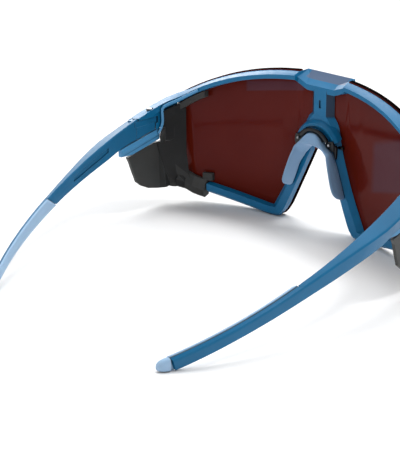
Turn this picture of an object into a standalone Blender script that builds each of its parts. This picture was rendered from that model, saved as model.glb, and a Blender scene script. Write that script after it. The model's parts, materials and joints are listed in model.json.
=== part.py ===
"""Wraparound sport sunglasses with a one-piece shield lens, folding temples,
rubber grips, an adjustable nose pad and clip-on side shields.

Frame: +Z up, +Y is the direction the wearer looks, +X is the wearer's right.
The glasses rest on Z = 0 on the two lower rim corners and the two temple tips.
The mid-plane is X = 0 and the world origin is the middle of the footprint.
Dimensions below are in millimetres, with Y measured from the hinge datum, which
lies DATUM_Y in front of the origin; add() turns both into world metres.
Parts that come in pairs are described on the right side and mirrored by flip().
"""

import math

import bmesh
import bpy
from mathutils import Vector

SIDES = ((1, "right"), (-1, "left"))  # sign of X, name ending

# ------------------------------------------------- shared dimensions (mm)
LENS_T = 2.0            # lens thickness, front to back
SEAT_GAP = 0.3          # gap between lens and frame seat
RIM_D = 2.4             # depth of rim, post and struts behind the lens
BROW_H = 1.75           # height of the brow bar's rear face
PLATE_FRONT = 37.1      # front of the centre plate
TIP_Y = -103.6          # rear end of the temples
DATUM_Y = -(TIP_Y + PLATE_FRONT) / 2  # origin at mid-depth of the footprint

# Nose cut-out: half an ellipse on top of two straight flanks
NOSE_ARCH_Z = 31.0      # foot of the arch
NOSE_ARCH_H = 8.6
NOSE_HALF = 4.05        # half width at the foot of the arch
NOSE_FLARE = 0.446      # widening of each flank per mm down

# Hinge
PIN_X, PIN_Y = 65.1, 2.6   # hinge axis
PIN_R = 0.9
BORE_R = 1.12
TONGUE_BOTTOM, TONGUE_TOP = 36.35, 38.75  # temple tongue between the two frame knuckles
TONGUE_R = 3.05
BARREL_R = 2.25         # temple barrel below the tongue
KNUCKLE_END = -4.4      # rear face of the frame's knuckles

NOSE_PIN_AT = (1.0, 31.8, 34.9)  # where distances along the nose pad's pin start

# ------------------------------------------------------------------- curves
# Across the face, polynomials in (x / CURVE_SPAN) squared, lowest power first
CURVE_SPAN = 57.0
LENS_PLAN = (35.05, -12.36, -1.2)     # y of the lens front
LENS_TOP = (62.3, -9.2, -3.75)        # z of the lens's upper edge
BROW_PLAN = (29.9, -18.8, 3.5)        # y of the brow bar's rear crease
BROW_TOP = (60.6, -7.9, -5.7)         # z of the same crease

# Along the temple, polynomials in -y / RIDGE_SPAN, lowest power first
RIDGE_SPAN = 95.0
RIDGE_PLAN = (63.64, 13.61, -36.65, 19.54, -13.12)  # x of the inner upper edge
RIDGE_TOP = (41.38, -32.5, -6.78, 8.0, -3.49)       # z of the same edge

# The frame's lower edge is level as far as RIM_LEVEL_HALF, then rises outwards
RIM_LEVEL_HALF = 24.0
RIM_SLOPE, RIM_BEND = 0.168, 0.0014


def polynomial(coefficients, t):
    return sum(c * t**power for power, c in enumerate(coefficients))


def lens_y(x):
    """Front of the lens in plan."""
    return polynomial(LENS_PLAN, (x / CURVE_SPAN) ** 2)


def seat_y(x):
    """Front of the frame's seat behind the lens, in plan."""
    return lens_y(x) - LENS_T - SEAT_GAP


def lens_z(x):
    """Upper edge of the lens."""
    return polynomial(LENS_TOP, (x / CURVE_SPAN) ** 2)


def brow_y(x):
    return polynomial(BROW_PLAN, (x / CURVE_SPAN) ** 2)


def brow_z(x):
    return polynomial(BROW_TOP, (x / CURVE_SPAN) ** 2)


def ridge_x(y):
    return polynomial(RIDGE_PLAN, -y / RIDGE_SPAN)


def ridge_z(y):
    return polynomial(RIDGE_TOP, -y / RIDGE_SPAN)


def rim_z(x):
    """Lower edge of the frame."""
    beyond = max(x - RIM_LEVEL_HALF, 0.0)
    return RIM_SLOPE * beyond + RIM_BEND * beyond * beyond


def nose_edge(z):
    """Half width of the nose cut-out at height z."""
    if z > NOSE_ARCH_Z:
        return NOSE_HALF * math.sqrt(1.0 - ((z - NOSE_ARCH_Z) / NOSE_ARCH_H) ** 2)
    return NOSE_HALF + NOSE_FLARE * (NOSE_ARCH_Z - z)


def table_row(table, t):
    """Values of a table at t, its first column, by a cubic blend between rows."""
    rows = sorted(table)
    if t <= rows[0][0]:
        return rows[0][1:]
    if t >= rows[-1][0]:
        return rows[-1][1:]
    i = next(i for i in range(len(rows) - 1) if t <= rows[i + 1][0])
    before, start = rows[max(i - 1, 0)], rows[i]
    end, after = rows[i + 1], rows[min(i + 2, len(rows) - 1)]
    span = end[0] - start[0]
    s = (t - start[0]) / span
    values = []
    for column in range(1, len(start)):
        start_slope = (end[column] - before[column]) / (end[0] - before[0]) * span
        end_slope = (after[column] - start[column]) / (after[0] - start[0]) * span
        values.append(
            (2 * s**3 - 3 * s**2 + 1) * start[column]
            + (s**3 - 2 * s**2 + s) * start_slope
            + (-2 * s**3 + 3 * s**2) * end[column]
            + (s**3 - s**2) * end_slope
        )
    return values


# ------------------------------------------------------------------ helpers
def clear_scene():
    for obj in list(bpy.data.objects):
        bpy.data.objects.remove(obj, do_unlink=True)


def make_material(name, color, *, roughness, metallic=0.0, alpha=1.0):
    material = bpy.data.materials.new(name)
    material.use_nodes = True
    shader = material.node_tree.nodes["Principled BSDF"]
    shader.inputs["Base Color"].default_value = (*color, 1.0)
    shader.inputs["Roughness"].default_value = roughness
    shader.inputs["Metallic"].default_value = metallic
    shader.inputs["Alpha"].default_value = alpha
    material.diffuse_color = (*color, alpha)
    return material


def add(name, body, material, origin=(0, 0, 0), smooth=0.0):
    """Object from a bmesh in datum millimetres, with its origin at a point.

    smooth is the angle in degrees above which edges stay sharp; 0 shades flat.
    """
    bmesh.ops.recalc_face_normals(body, faces=body.faces)
    shift = Vector((0.0, DATUM_Y, 0.0))
    location = Vector(origin) + shift
    for vert in body.verts:
        vert.co = (vert.co + shift - location) * 0.001
    mesh = bpy.data.meshes.new(name)
    body.to_mesh(mesh)
    body.free()
    obj = bpy.data.objects.new(name, mesh)
    obj.location = location * 0.001
    bpy.context.scene.collection.objects.link(obj)
    if material is not None:
        mesh.materials.append(material)
    if smooth:
        mesh.shade_smooth()
        mesh.set_sharp_from_angle(angle=math.radians(smooth))
    return obj


def loft(sections):
    """Closed body through equal-length loops of points."""
    body = bmesh.new()
    rings = [[body.verts.new(Vector(point)) for point in section] for section in sections]
    count = len(rings[0])
    for ring, following in zip(rings, rings[1:]):
        for i in range(count):
            j = (i + 1) % count
            body.faces.new((ring[i], ring[j], following[j], following[i]))
    caps = [body.faces.new(rings[0]), body.faces.new(rings[-1])]
    bmesh.ops.triangulate(body, faces=caps)
    return body


def flip(sections, sign):
    """Sections as they are for sign 1, mirrored across X = 0 for sign -1."""
    return [[(x * sign, y, z) for x, y, z in section] for section in sections]


def prism(outline, bottom, top, sign=1):
    """Upright body over an outline in x and y."""
    return loft([[(sign * x, y, z) for x, y in outline] for z in (bottom, top)])


def turned(center, axis, steps, segments=20):
    """Turned body along an axis; steps lists (distance, radius)."""
    axis = Vector(axis).normalized()
    side = axis.orthogonal().normalized()
    other = axis.cross(side)
    angles = [2 * math.pi * k / segments for k in range(segments)]
    return loft([
        [Vector(center) + axis * distance
         + (side * math.cos(angle) + other * math.sin(angle)) * radius for angle in angles]
        for distance, radius in steps
    ])


def turned_on_hinge(sign, steps):
    """Body turned on the hinge axis; steps lists (z, radius)."""
    return turned((sign * PIN_X, PIN_Y, 0), (0, 0, 1), steps)


def hinge_arc(radius, steps):
    """Front half circle round the hinge axis, in plan, from the outside inwards."""
    angles = [math.radians(180 * k / steps) for k in range(steps + 1)]
    return [(PIN_X + radius * math.cos(a), PIN_Y + radius * math.sin(a)) for a in angles]


def boolean(obj, name, body, operation):
    """Boolean modifier whose operand is a hidden wire helper."""
    operand = add(name, body, None)
    operand.hide_render = True
    operand.display_type = "WIRE"
    modifier = obj.modifiers.new(operation.lower() + "_" + name, "BOOLEAN")
    modifier.operation = operation
    modifier.object = operand
    modifier.solver = "EXACT"


def join(obj, name, body):
    boolean(obj, "add_" + name, body, "UNION")


def cut(obj, name, body):
    boolean(obj, "cut_" + name, body, "DIFFERENCE")


def resample(points, count):
    """Points evenly spaced along a polyline."""
    points = [Vector(point) for point in points]
    lengths = [0.0]
    for start, end in zip(points, points[1:]):
        lengths.append(lengths[-1] + (end - start).length)
    out = []
    for k in range(count):
        travel = lengths[-1] * k / (count - 1)
        i = next(i for i in range(len(points) - 1) if lengths[i + 1] >= travel - 1e-9)
        share = (travel - lengths[i]) / (lengths[i + 1] - lengths[i])
        out.append(points[i].lerp(points[i + 1], share))
    return out


# ---------------------------------------------------------------- materials
MAT_FRAME = make_material("frame_blue", (0.035, 0.155, 0.330), roughness=0.38)
MAT_TRIM = make_material("trim_blue", (0.11, 0.29, 0.52), roughness=0.42)
MAT_RUBBER = make_material("rubber_light_blue", (0.31, 0.46, 0.66), roughness=0.62)
MAT_LENS = make_material("lens_dark_red", (0.045, 0.010, 0.009), roughness=0.05, alpha=0.9)
MAT_SHIELD = make_material("shield_black", (0.015, 0.015, 0.016), roughness=0.55)
MAT_BLACK = make_material("clip_black", (0.01, 0.01, 0.01), roughness=0.45)
MAT_STEEL = make_material("steel", (0.55, 0.56, 0.58), roughness=0.28, metallic=1.0)


# ------------------------------------------- frame: centre plate and brow bar
PLATE_REAR = 6.6        # half width of the centre plate's rear edge
PLATE_HALF = 11.5       # half width of the centre plate's front edge
PLATE_TOP = 61.6
PLATE_EDGE_H = 1.7      # height of the plate's front edge
PLATE_XS = (PLATE_REAR, 9.0, PLATE_HALF)
BROW_XS = (PLATE_HALF + 0.4, 15, 20, 25, 30, 35, 40, 45, 50, 54, 57.5)
BROW_TAPER_END, BROW_TAPER = 52.0, 8.0  # where the bar's extra depth fades out, and over how far

# Ends of the brow bar, turning towards the temple:
# inner crease, outer crease, thickness, (x, y) of the lower front corner
BROW_ENDS = (
    ((59.6, 12.4, 45.5), (62.7, 16.1, 46.2), 2.2, (61.4, 15.2)),
    ((61.3, 9.2, 44.5), (66.6, 12.6, 44.0), 2.4, (65.4, 11.8)),
    ((62.5, 5.8, 43.3), (68.4, 7.2, 41.9), 2.6, (67.5, 6.8)),
    ((63.25, 1.2, 41.8), (69.5, 1.4, 40.1), 2.6, (68.5, 1.3)),
    ((63.95, KNUCKLE_END, ridge_z(KNUCKLE_END)), (70.0, KNUCKLE_END, 38.15), 2.0,
     (69.2, KNUCKLE_END)),
)


# The next three functions give the same seven points: top front, top middle,
# top rear, bottom rear, bottom front, inner corner and underside of the front.
def plate_section(x):
    """Section of the centre plate, growing thinner towards its side edge."""
    t = (x - PLATE_REAR) / (PLATE_HALF - PLATE_REAR)
    rear_y = 30.3 + 0.2 * t
    return [
        (x, PLATE_FRONT, PLATE_TOP),
        (x, 33.2 + 3.7 * t, 59.2 + 2.25 * t),
        (x, rear_y, 57.7 + 1.9 * t),
        (x, rear_y + 0.2, 55.4 + 2.0 * t),
        (x, seat_y(x), 55.2 + 1.7 * t),
        (x, seat_y(x), 57.6),
        (x, PLATE_FRONT, PLATE_TOP - PLATE_EDGE_H),
    ]


def brow_section(x):
    front_y, rear_y = seat_y(x), brow_y(x)
    front_z, rear_z = lens_z(x) - 0.5, brow_z(x)
    low = rear_z - BROW_H - 0.5 * min(max((BROW_TAPER_END - x) / BROW_TAPER, 0.1), 1.0)
    return [
        (x, front_y, front_z),
        (x, front_y * 0.5 + rear_y * 0.5, front_z * 0.5 + rear_z * 0.5 + 0.12),
        (x, rear_y, rear_z),
        (x, rear_y + 0.25, rear_z - BROW_H),
        (x, front_y, low),
        (x, front_y, low * 0.6 + front_z * 0.4),
        (x, front_y, low * 0.25 + front_z * 0.75),
    ]


def brow_end_section(inner, outer, thickness, corner):
    (inner_x, inner_y, inner_z), (outer_x, outer_y, outer_z) = inner, outer
    middle_x, middle_y, middle_z = [(a + b) / 2 for a, b in zip(inner, outer)]
    corner_x, corner_y = corner
    return [
        outer,
        (middle_x, middle_y, middle_z + 0.15),
        inner,
        (inner_x + 0.15, inner_y + 0.1, inner_z - thickness),
        (corner_x, corner_y, outer_z - thickness - 0.4),
        (corner_x * 0.5 + outer_x * 0.5, corner_y * 0.5 + outer_y * 0.5,
         outer_z - thickness * 0.8 - 0.3),
        (outer_x - 0.2, outer_y, outer_z - thickness * 0.6),
    ]


def brow_sections():
    right = [plate_section(x) for x in PLATE_XS]
    right += [brow_section(x) for x in BROW_XS]
    right += [brow_end_section(*row) for row in BROW_ENDS]
    return flip(right, -1)[::-1] + right


# --------------------------------------------- frame: post, struts, rim, hood
POST_ZS = (57.6, 54.5, 50.0, 46.4, 44.6, 43.0)
POST_HALF = 3.0         # half width of the nose post's rear face
POST_FRONT_HALF = 5.4
POST_FLARE_Z, POST_FLARE_H = 46.4, 3.4  # top and height of the flared foot
POST_FLARE = 2.4        # widening of each side at the foot
POST_SLOT = ((-0.55, 30.0), (0.55, 30.0), (0.55, 30.95), (-0.55, 30.95))
POST_SLOT_Z = (49.2, 52.4)

STRUT_ZS = (46.2, 44.5, 42.4, 40.4, 39.5, 38.8, 37.6, 36.0, 34.0, 31.0, 26.0, 20.5,
            15.0, 10.0, 6.0, 3.6, 1.6, 0.3)
STRUT_W = 2.4           # narrowing of the rear face from the outer edge
STRUT_FOOT_Z = 5.5      # below this the inner edge curves outwards
# Outer edge of the strut: z, half width
STRUT_OUTER = (
    (1.0, 24.2), (4.5, 22.6), (10.6, 19.5), (17.7, 15.9), (25.1, 13.0), (31.8, 10.6),
    (37.5, 9.1), (42.5, 8.1), (44.6, 6.9), (46.6, 5.4), (58.0, 5.4),
)

RIM_START = 19.2        # inner end of the lower rim
RIM_END = 50.2          # where the lower rim gives way to the shield's clip
RIM_H = 4.2             # height of the lower rim
RIM_STEPS = 14

HOOD_Z = 33.3           # centre of the hood's arc
HOOD_INNER_R, HOOD_CREASE_R, HOOD_OUTER_R = 9.2, 10.1, 10.9
HOOD_REAR, HOOD_FRONT = 28.1, 31.6
HOOD_START, HOOD_SWEEP = -4, 70  # degrees from straight up; the halves overlap
HOOD_STEPS = 8


def post_sections():
    """Nose post between the centre plate and the struts, flared at its foot."""
    front_y, rear_y = seat_y(4), seat_y(0) - RIM_D
    out = []
    for z in POST_ZS:
        flare = POST_FLARE * max(0.0, (POST_FLARE_Z - z) / POST_FLARE_H)
        front, rear = POST_FRONT_HALF + flare, POST_HALF + flare
        out.append([(-front, front_y, z), (front, front_y, z),
                    (rear, rear_y, z), (-rear, rear_y, z)])
    return out


def strut_sections():
    """Strut from the post down beside the nose to the lower rim."""
    out = []
    for z in STRUT_ZS:
        # above the nose arch the two struts overlap across the mid-plane
        inner = nose_edge(z) if z < 39.55 else -0.6
        if z < STRUT_FOOT_Z:
            inner += (STRUT_FOOT_Z - z) ** 2 * 0.075
        outer = table_row(STRUT_OUTER, z)[0]
        rear_y = seat_y((max(inner, 0) + outer) / 2) - RIM_D
        if z <= 1.0:
            rear_y += 0.8
        out.append([
            (inner, seat_y(inner), z), (outer, seat_y(outer), z),
            (max(outer - STRUT_W, inner + 1.2), rear_y, z), (inner + 0.15, rear_y, z),
        ])
    return out


def rim_sections():
    """Lower rim behind the lens."""
    out = []
    for k in range(RIM_STEPS + 1):
        x = RIM_START + (RIM_END - RIM_START) * k / RIM_STEPS
        front_y = seat_y(x)
        rear_y = front_y - RIM_D
        low = rim_z(x) + (0.35 if x < 20.0 else 0.0)
        out.append([
            (x, front_y, low), (x, front_y, low + RIM_H), (x, rear_y, low + RIM_H - 0.5),
            (x, rear_y, low + 1.1), (x, rear_y + 1.0, low),
        ])
    return out


def hood_sections():
    """Half of the arched ledge over the nose bridge."""
    out = []
    for k in range(HOOD_STEPS + 1):
        angle = math.radians(90 - (HOOD_START + HOOD_SWEEP * k / HOOD_STEPS))
        c, s = math.cos(angle), math.sin(angle)
        out.append([
            (HOOD_INNER_R * c, HOOD_REAR, HOOD_Z + HOOD_INNER_R * s),
            (HOOD_INNER_R * c, HOOD_FRONT, HOOD_Z + HOOD_INNER_R * s),
            (HOOD_OUTER_R * c + 0.2 * c, HOOD_FRONT, HOOD_Z + HOOD_OUTER_R * s + 0.9),
            (HOOD_OUTER_R * c, 29.3, HOOD_Z + HOOD_OUTER_R * s),
            (HOOD_CREASE_R * c, HOOD_REAR, HOOD_Z + HOOD_CREASE_R * s),
        ])
    return out


# --------------------------------------------------------- frame: hinge sides
BLOCK_FRONT = 7.9
# Hinge block: y, inner x, outer x of the underside, z of the underside
BLOCK = (
    (BLOCK_FRONT, 63.4, 66.0, 34.3), (7.2, 63.2, 66.5, 34.0), (3.0, 63.15, 67.3, 33.1),
    (-1.0, 63.5, 67.8, 32.9), (KNUCKLE_END, 64.0, 68.2, 32.5),
)
# Cheek: y, inner x, outer x, top z, bottom z
CHEEK = (
    (16.6, 62.9, 63.9, 45.4, 38.0), (13.6, 64.2, 66.1, 44.2, 36.8),
    (10.4, 65.2, 67.4, 42.9, 35.9), (6.4, 65.6, 68.4, 41.5, 34.6),
)
SLOT_GAP = 0.2          # above and below the tongue
SLOT_R = 3.5            # tongue slot round the hinge axis
SLOT_END = -6.0         # past the rear of the knuckles
BARREL_CUT_R = 2.55
BARREL_CUT_X = (60.0, 73.0)
BARREL_CUT_END = -7.0
BARREL_CUT_BOTTOM = 30.0
PIN_HEAD_SEAT = 41.3    # floor of the hinge pin's counterbore
PIN_HEAD_BORE_R = 1.6
NOSE_BORE = ((0.0, 0.62), (8.45, 0.62), (8.45, 0.95), (12.0, 0.95))  # distance, radius


def block_sections():
    """Hinge block: knuckles and the wall that carries them."""
    out = []
    for y, inner, under, bottom in BLOCK:
        top = ridge_z(y) - 0.6
        t = (BLOCK_FRONT - y) / (BLOCK_FRONT - KNUCKLE_END)
        outer, outer_z = 68.0 + 2.0 * t**0.6, 41.6 - 3.6 * t
        out.append([
            (inner, y, bottom), (inner, y, top), (inner + 1.2, y, top - 0.2),
            (outer - 0.3, y, outer_z - 0.2), (outer, y, outer_z - 0.8), (under, y, bottom),
        ])
    return out


def cheek_sections():
    """Side wall from the hinge block forward to the lens edge."""
    return [
        [(inner, y, bottom), (inner, y, top), (outer, y, top - 0.4), (outer, y, top - 2.2),
         (outer - 1.3, y, bottom)]
        for y, inner, outer, top, bottom in CHEEK
    ]


def cut_hinge(frame, sign, side):
    slot_bottom = TONGUE_BOTTOM - SLOT_GAP
    # slot for the temple's tongue, open to the rear and to the inside
    outline = hinge_arc(SLOT_R, 12) + [(PIN_X - SLOT_R, SLOT_END), (PIN_X + SLOT_R, SLOT_END)]
    cut(frame, "tongue_" + side, prism(outline, slot_bottom, TONGUE_TOP + SLOT_GAP, sign))
    # the temple's barrel turns behind the lower knuckle
    (inner, outer), shoulder = BARREL_CUT_X, PIN_Y - 0.13
    outline = [(outer, shoulder)] + hinge_arc(BARREL_CUT_R, 12)
    outline += [(inner, shoulder), (inner, BARREL_CUT_END), (outer, BARREL_CUT_END)]
    cut(frame, "barrel_" + side, prism(outline, BARREL_CUT_BOTTOM, slot_bottom + 0.07, sign))
    cut(frame, "pin_" + side, turned_on_hinge(sign, [
        (36.0, BORE_R), (PIN_HEAD_SEAT, BORE_R),
        (PIN_HEAD_SEAT, PIN_HEAD_BORE_R), (45.0, PIN_HEAD_BORE_R),
    ]))


def along_nose_pin(sign, steps):
    """Body turned on the nose pin's axis; steps lists (distance outwards, radius)."""
    x, y, z = NOSE_PIN_AT
    return turned((sign * x, y, z), (sign, 0, 0), steps, 16)


def make_frame():
    frame = add("frame", loft(brow_sections()), MAT_FRAME)
    join(frame, "post", loft(post_sections()))
    paired = (("strut_", strut_sections()), ("rim_", rim_sections()), ("hood_", hood_sections()),
              ("block_", block_sections()), ("cheek_", cheek_sections()))
    for sign, side in SIDES:
        for name, sections in paired:
            join(frame, name + side, loft(flip(sections, sign)))
    # slot in the post's rear face
    cut(frame, "post_slot", prism(POST_SLOT, *POST_SLOT_Z))
    for sign, side in SIDES:
        cut_hinge(frame, sign, side)
        # hole for the nose pad's fixing pin, across the strut
        cut(frame, "nose_pin_" + side, along_nose_pin(sign, NOSE_BORE))


# --------------------------------------------------------------------- lens
LENS_END = 62.4         # half width of the lens at its upper corner
LENS_CORNER = 61.4      # where the upper edge starts to round off
LENS_STEP = 12.11       # half width of the lowered top behind the centre plate
LENS_STEP_TOP = 56.9
LENS_FLANK_END = 15.15  # lower end of the nose flank
LENS_FLANK_Z = 6.11
LENS_RIM_START = 19.6   # from here the lower edge follows the rim
LENS_RIM_LIFT = 0.45    # height above the frame's lower edge
LENS_TURN = 57.6        # from here the lower edge climbs to the upper corner
LENS_TURN_Z, LENS_END_Z = 7.9, 44.5

# Half widths of the lens stations, with an even run between the two parts
LENS_XS_INNER = (
    0.0, 0.8, 1.6, 2.3, 2.9, 3.4, 3.75, 3.97, NOSE_HALF, 6.0, 8.0, 10.0, 12.1, 12.14, 13.6,
    LENS_FLANK_END, 16.0, 17.0, 18.0, 18.9, LENS_RIM_START, 22.0,
)
LENS_RUN_STEPS = 13
LENS_XS_OUTER = (58.6, 59.6, 60.6, LENS_CORNER, 61.9, 62.2, LENS_END)


def lens_low(x):
    """Lower edge of the lens: nose arch, nose flank, corner, rim, outer end."""
    if x < NOSE_HALF:
        share = x / (NOSE_HALF + 0.01)
        return NOSE_ARCH_Z + NOSE_ARCH_H * math.sqrt(1.0 - share**2)
    if x < LENS_FLANK_END:
        return NOSE_ARCH_Z - (x - NOSE_HALF) / NOSE_FLARE
    if x < LENS_RIM_START:
        t = (x - LENS_FLANK_END) / (LENS_RIM_START - LENS_FLANK_END)
        fade = (1 - t) ** 1.5
        return LENS_FLANK_Z * fade + LENS_RIM_LIFT * (1 - fade)
    if x < LENS_TURN:
        return rim_z(x) + LENS_RIM_LIFT
    end = LENS_END + 0.1
    t = ((end - x) / (end - LENS_TURN)) ** 0.45
    return LENS_END_Z - (LENS_END_Z - LENS_TURN_Z) * t


def lens_top(x):
    if x <= LENS_STEP:
        return LENS_STEP_TOP
    return lens_z(x) - 1.2 * max(0.0, x - LENS_CORNER) ** 2


def make_lens():
    start = LENS_XS_INNER[-1]
    run = [start + (LENS_TURN - start) * k / LENS_RUN_STEPS for k in range(1, LENS_RUN_STEPS + 1)]
    right = []
    for x in (*LENS_XS_INNER, *run, *LENS_XS_OUTER):
        top, low, y = lens_top(x), lens_low(x), lens_y(x)
        right.append([(x, y, low), (x, y, top), (x, y - LENS_T, top), (x, y - LENS_T, low)])
    left = flip(right[1:], -1)[::-1]
    add("lens", loft(left + right), MAT_LENS, smooth=25)


# ------------------------------------------------------------------ temples
# Section of the temple, from its ridge (inner upper edge):
# y, crease out and down, lower outer edge out and down, inner wall height
TEMPLE_SECTION = (
    (-5.0, 5.9, 1.8, 4.2, 8.5, 8.2),
    (-12.0, 6.0, 1.8, 4.2, 7.7, 7.35),
    (-17.0, 6.0, 1.6, 4.1, 7.7, 7.4),
    (-22.0, 5.8, 1.4, 3.8, 7.9, 7.5),
    (-30.0, 4.7, 1.0, 3.1, 7.4, 7.0),
    (-42.0, 3.2, 0.7, 2.3, 6.5, 6.2),
    (-54.0, 2.3, 0.6, 1.7, 5.7, 5.6),
    (-66.0, 2.1, 0.6, 1.5, 5.2, 5.2),
    (-78.0, 2.0, 0.7, 1.4, 4.9, 4.9),
    (-90.0, 1.9, 0.8, 1.3, 4.9, 4.9),
    (-104.0, 1.8, 0.9, 1.2, 4.9, 4.9),
)
TEMPLE_FRONT = -4.95    # front shoulder of the temple
GRIP_START = -56.5      # where the rubber grip begins
SLANT_REACH = 5.0       # how far a fully slanted section leads at its lower edge

# Full sections, then the outer part beside the grip: y, slant from 0 to 1
BODY_STATIONS = (
    (TEMPLE_FRONT, 0), (-9, 0), (-13, 0), (-17, 0), (-21, 0), (-26, 0), (-31, 0), (-36, 0),
    (-41, 0), (-46, 0.3), (-51, 0.7), (GRIP_START, 1.0),
)
CORE_STATIONS = (
    (GRIP_START - 0.02, 1.0), (-62, 0.6), (-68, 0.2), (-74, 0), (-80, 0), (-85, 0), (-90, 0),
    (-94, 0), (-97, 0), (-100.05, 0.26),
)
# Rubber band: y, slant, share of the full crown
GRIP_STATIONS = (
    (GRIP_START - 0.35, 1.0, 0.25), (GRIP_START - 1.4, 0.97, 0.85), (-62, 0.6, 1.0),
    (-68, 0.2, 1.0), (-74, 0, 1.0), (-80, 0, 1.0), (-86, 0, 1.0), (-91, 0, 1.0),
    (-95, 0, 1.0), (-98.5, 0, 1.0), (-100.9, 0, 1.0),
)
# Rubber tip: y, scale of the section, height of its centre as a share
TIP_STATIONS = (
    (-100.35, 1.0, 0.5), (-101.4, 1.0, 0.5), (-102.3, 0.95, 0.5), (-103.0, 0.85, 0.47),
    (-103.4, 0.72, 0.47), (TIP_Y, 0.5, 0.47),
)
TIP_HALF_W = 1.5
TIP_SEGMENTS = 12
# Recess along the inner face: y, half height
GROOVE_STATIONS = ((-20.5, 0.9), (-24, 1.15), (-28, 1.15), (-32, 1.15), (-36, 1.15), (-40.5, 0.9))
GROOVE_DEPTH = 0.5

TONGUE_INNER = 63.55    # flat inner side of the tongue
TONGUE_ROOT = -6.5      # inside the temple
BARREL_INNER = 63.45    # flat inner side of the barrel
BARREL_OUTER = PIN_X + 3.3
BARREL_SHOULDER, BARREL_ROOT = -0.2, -5.6
BARREL_BOTTOM = 33.3    # falls away towards the rear
# Hinge pin with a low head: z, radius
HINGE_PIN = ((34.75, PIN_R), (41.6, PIN_R), (41.6, 1.3), (42.1, 1.3), (42.3, 1.0))


def wall_height(y):
    return table_row(TEMPLE_SECTION, y)[-1]


def temple_body(y):
    """Full section of the temple."""
    x, z = ridge_x(y), ridge_z(y)
    crease_out, crease_down, low_out, low_down, wall = table_row(TEMPLE_SECTION, y)
    return [
        (x, y, z - wall), (x, y, z - 0.35), (x + 0.35, y, z),
        (x + crease_out - 0.4, y, z - crease_down + 0.1),
        (x + crease_out, y, z - crease_down - 0.6),
        (x + low_out, y, z - low_down),
    ]


def temple_core(y):
    """Section beside the grip: only the outer part of the temple."""
    x, z = ridge_x(y), ridge_z(y)
    crease_out, crease_down, low_out, low_down, wall = table_row(TEMPLE_SECTION, y)
    return [
        (x + 0.38, y, max(z - wall + 0.25, 0.4)), (x + 0.38, y, z - 0.8), (x + 0.5, y, z - 0.2),
        (x + crease_out - 0.3, y, z - crease_down + 0.1),
        (x + crease_out, y, z - crease_down - 0.6),
        (x + low_out, y, max(z - low_down, 0.15)),
    ]


def grip_section(y, crown):
    """Rubber on the inner side, softly crowned, standing a little over the ridge."""
    x, z, wall = ridge_x(y), ridge_z(y), wall_height(y)
    return [
        (x + 0.08, y, max(z - wall, 0.1)), (x - 0.3 * crown, y, max(z - wall + 0.3, 0.3)),
        (x - 1.0 * crown, y, z - wall * 0.62), (x - 0.95 * crown, y, z - wall * 0.25),
        (x - 0.65 * crown, y, z + 0.12 * crown), (x + 0.08, y, z + 0.26 * crown),
    ]


def slanted(section, y, slant):
    """Section whose lower edge lies ahead of its upper edge."""
    z, wall = ridge_z(y), wall_height(y)
    out = []
    for i, point in enumerate(section(y)):
        depth = min(max((z - point[2]) / wall, 0.0), 1.0)
        out.append(section(y + SLANT_REACH * slant * depth)[i])
    return out


def tip_sections():
    """The grip's tip, closed round the end of the temple."""
    out = []
    for y, scale, center_share in TIP_STATIONS:
        low_down = table_row(TEMPLE_SECTION, y)[3]
        low, top = max(ridge_z(y) - low_down, 0.0), ridge_z(y) + 0.2
        center_x, center_z = ridge_x(y) + 0.42, low + (top - low) * center_share
        half_w, half_h = TIP_HALF_W * scale, (top - low) / 2 * scale
        ring = []
        for k in range(TIP_SEGMENTS):
            angle = 2 * math.pi * k / TIP_SEGMENTS
            # powers below 1 square up the ellipse
            across, up = [math.copysign(abs(value) ** 0.6, value)
                          for value in (math.cos(angle), math.sin(angle))]
            ring.append((center_x + half_w * across, y, max(center_z + half_h * up, 0.0)))
        out.append(ring)
    return out


def tongue_body(sign):
    """Tongue that turns between the frame's knuckles."""
    outline = [(max(x, TONGUE_INNER), y) for x, y in hinge_arc(TONGUE_R, 10)]
    outline += [(64.15, TONGUE_ROOT), (PIN_X + TONGUE_R, TONGUE_ROOT)]
    return prism(outline, TONGUE_BOTTOM, TONGUE_TOP, sign)


def barrel_body(sign):
    """Barrel below the tongue, behind the frame's lower knuckle."""
    outline = [(BARREL_OUTER, BARREL_SHOULDER)]
    outline += [(max(x, BARREL_INNER), y) for x, y in hinge_arc(BARREL_R, 12)]
    outline += [(63.75, BARREL_SHOULDER), (64.1, BARREL_ROOT), (BARREL_OUTER, BARREL_ROOT)]
    bottom = [(x, y, BARREL_BOTTOM - max(0.0, 1.6 - y) * 0.285) for x, y in outline]
    top = [(x, y, TONGUE_BOTTOM + 0.4) for x, y in outline]
    return loft(flip([bottom, top], sign))


def groove_sections():
    out = []
    for y, half in GROOVE_STATIONS:
        outside, inside = ridge_x(y) - 1, ridge_x(y) + GROOVE_DEPTH
        middle = ridge_z(y) - 0.5 * wall_height(y)
        low, top = middle - half, middle + half
        out.append([(outside, y, low), (inside, y, low), (inside, y, top), (outside, y, top)])
    return out


def make_temple(sign, side):
    sections = [slanted(temple_body, y, slant) for y, slant in BODY_STATIONS]
    sections += [slanted(temple_core, y, slant) for y, slant in CORE_STATIONS]
    hinge = (sign * PIN_X, PIN_Y, 0)
    temple = add("temple_" + side, loft(flip(sections, sign)), MAT_FRAME, hinge)
    join(temple, "tongue_" + side, tongue_body(sign))
    join(temple, "barrel_" + side, barrel_body(sign))
    bore = turned_on_hinge(sign, [(34.4, BORE_R), (TONGUE_TOP + 1, BORE_R)])
    cut(temple, "tongue_bore_" + side, bore)
    cut(temple, "groove_" + side, loft(flip(groove_sections(), sign)))


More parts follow.
